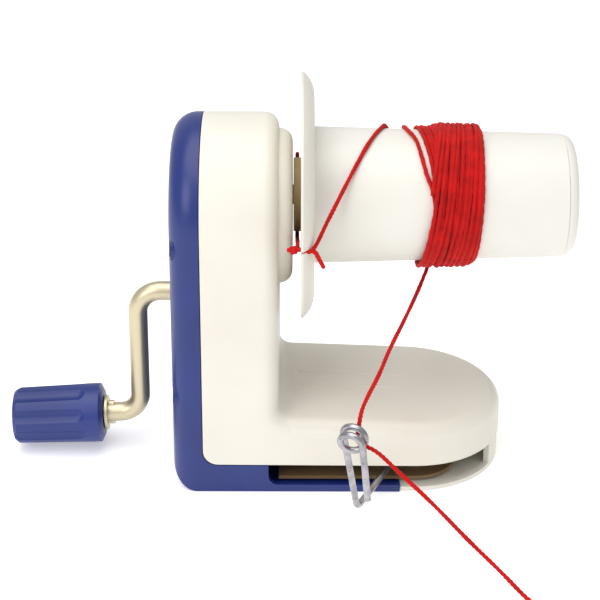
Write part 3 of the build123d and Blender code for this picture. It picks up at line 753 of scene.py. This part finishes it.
# ------------------------------------------------------------------------------ frame pieces
@dataclass
class FramePieces:
    """The frame's own pieces, shown with clean shading and their finishes.

    Attributes:
        nodes: the frame's nodes by name.
        weld_distance: how close two corners are to be one, in metres.
        crease: the angle past which an edge stays sharp.
    """

    nodes: dict[str, bpy.types.Object]
    weld_distance: float = 2e-6
    crease: float = math.radians(28)

    def dress(self, name: str, finish: Finish) -> None:
        """Give one frame node its shading and finish.

        Args:
            name: the node's name.
            finish: what it is made of.
        """
        node = self.nodes[name]
        weld = node.modifiers.new("weld", "WELD")
        weld.merge_threshold = self.weld_distance
        split = node.modifiers.new("creases", "EDGE_SPLIT")
        split.split_angle = self.crease
        node.data.polygons.foreach_set("use_smooth", [True] * len(node.data.polygons))
        node.data.materials.clear()
        node.data.materials.append(finish.material())
        LOG.info("dressed %s in %s", name, finish.name)

    def build(self) -> None:
        """Dress every node of the frame but the yarn's own, still dressing the wire guide, yarn_guide."""
        for name in self.nodes:
            if not name.startswith("yarn_") or name == "yarn_guide":
                self.dress(name, CAD_FINISHES.get(name, BRIGHT_STEEL))


# ------------------------------------------------------------------------------ studio
@dataclass(frozen=True)
class SoftLight:
    """One soft square light.

    Attributes:
        name: the light's name.
        place: where it hangs.
        aim: the point that it faces.
        size: its width.
        power: its watts.
    """

    name: str
    place: tuple[float, float, float]
    aim: tuple[float, float, float]
    size: float
    power: float

    def hang(self) -> None:
        """Add the light to the scene."""
        lamp = bpy.data.lights.new(self.name, "AREA")
        lamp.size = self.size
        lamp.energy = self.power
        holder = bpy.data.objects.new(self.name, lamp)
        holder.location = self.place
        facing = Vector(self.aim) - Vector(self.place)
        holder.rotation_euler = facing.to_track_quat("-Z", "Y").to_euler()
        bpy.context.scene.collection.objects.link(holder)


@dataclass
class Studio:
    """A pale floor, soft lights and the camera.

    Attributes:
        camera_place: where the camera is, in metres.
        camera_down, camera_turn, camera_roll: how far it looks down, turns and rolls, in degrees.
        lens, shift: its focal length in millimetres and its vertical shift.
        floor_size, floor_drop: the floor's width and how far it lies below the object.
        paper, paper_glow: how white the floor is and how much light it gives.
        sky: strength of the light from all round.
        lights: the soft lights.
    """

    camera_place: tuple[float, float, float] = (0.00787, -0.62005, 0.35421)
    camera_down: float = 19.29
    camera_turn: float = -0.05
    camera_roll: float = 0.15
    lens: float = 98.025
    shift: float = -0.262
    floor_size: float = 3.0
    floor_drop: float = 0.0002
    paper: float = 0.97
    paper_glow: float = 0.3
    sky: float = 0.62
    lights: tuple[SoftLight, ...] = (
        SoftLight("overhead", (-0.15, -0.15, 1.1), (0.0, 0.0, 0.05), 1.0, 7.5),
        SoftLight("front_left", (-0.7, -0.9, 0.7), (0.0, 0.0, 0.09), 0.7, 5.0),
    )

    def floor(self) -> bpy.types.Object:
        """Lay the floor."""
        deselect_all()
        bpy.ops.mesh.primitive_plane_add(size=self.floor_size, location=(0, 0, -self.floor_drop))
        ground = bpy.context.active_object
        ground.name = "studio_floor"
        paint = bpy.data.materials.new("studio_paper")
        paint.use_nodes = True
        shader = paint.node_tree.nodes["Principled BSDF"]
        shader.inputs["Base Color"].default_value = (self.paper, self.paper, self.paper, 1)
        shader.inputs["Roughness"].default_value = 0.9
        shader.inputs["Specular IOR Level"].default_value = 0.1
        shader.inputs["Emission Color"].default_value = (1, 1, 1, 1)
        shader.inputs["Emission Strength"].default_value = self.paper_glow
        ground.data.materials.append(paint)
        return ground

    def camera(self) -> None:
        """Set up the camera."""
        lens = bpy.data.cameras.new("camera")
        lens.lens = self.lens
        lens.sensor_width = 36.0
        lens.shift_y = self.shift
        lens.clip_start = 0.01
        holder = bpy.data.objects.new("camera", lens)
        holder.location = self.camera_place
        turn = Euler((math.radians(90 - self.camera_down), 0, math.radians(self.camera_turn)), "XYZ")
        roll = Euler((0, 0, math.radians(self.camera_roll)), "XYZ")
        holder.rotation_euler = (turn.to_matrix() @ roll.to_matrix()).to_euler()
        bpy.context.scene.collection.objects.link(holder)
        bpy.context.scene.camera = holder

    def build(self) -> None:
        """Set up the whole studio."""
        self.floor()
        world = bpy.data.worlds.new("studio_air")
        world.use_nodes = True
        air = world.node_tree.nodes["Background"]
        air.inputs["Color"].default_value = (1, 1, 1, 1)
        air.inputs["Strength"].default_value = self.sky
        bpy.context.scene.world = world
        for light in self.lights:
            light.hang()
        self.camera()
        bpy.context.scene.view_settings.view_transform = "Standard"


def main() -> None:
    """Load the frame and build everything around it."""
    logging.basicConfig(level=logging.INFO, format="%(name)s: %(message)s")
    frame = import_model()
    for group in (moulded_group, plated_group, yarn_group):
        LOG.info("shader group %s", group().name)
    FramePieces(frame["nodes"]).build()
    yarn = PliedYarn()
    LOG.info("made %s", WoundBand(PliedYarn(sides=9)).build().name)
    ends = YarnEnds(yarn)
    for make in (ends.lead, ends.tail, ends.noose, ends.knot):
        LOG.info("made %s", make().name)
    LOG.info("made %s", FeedStrand(yarn).build().name)
    Studio().build()


if __name__ == "__main__":
    main()
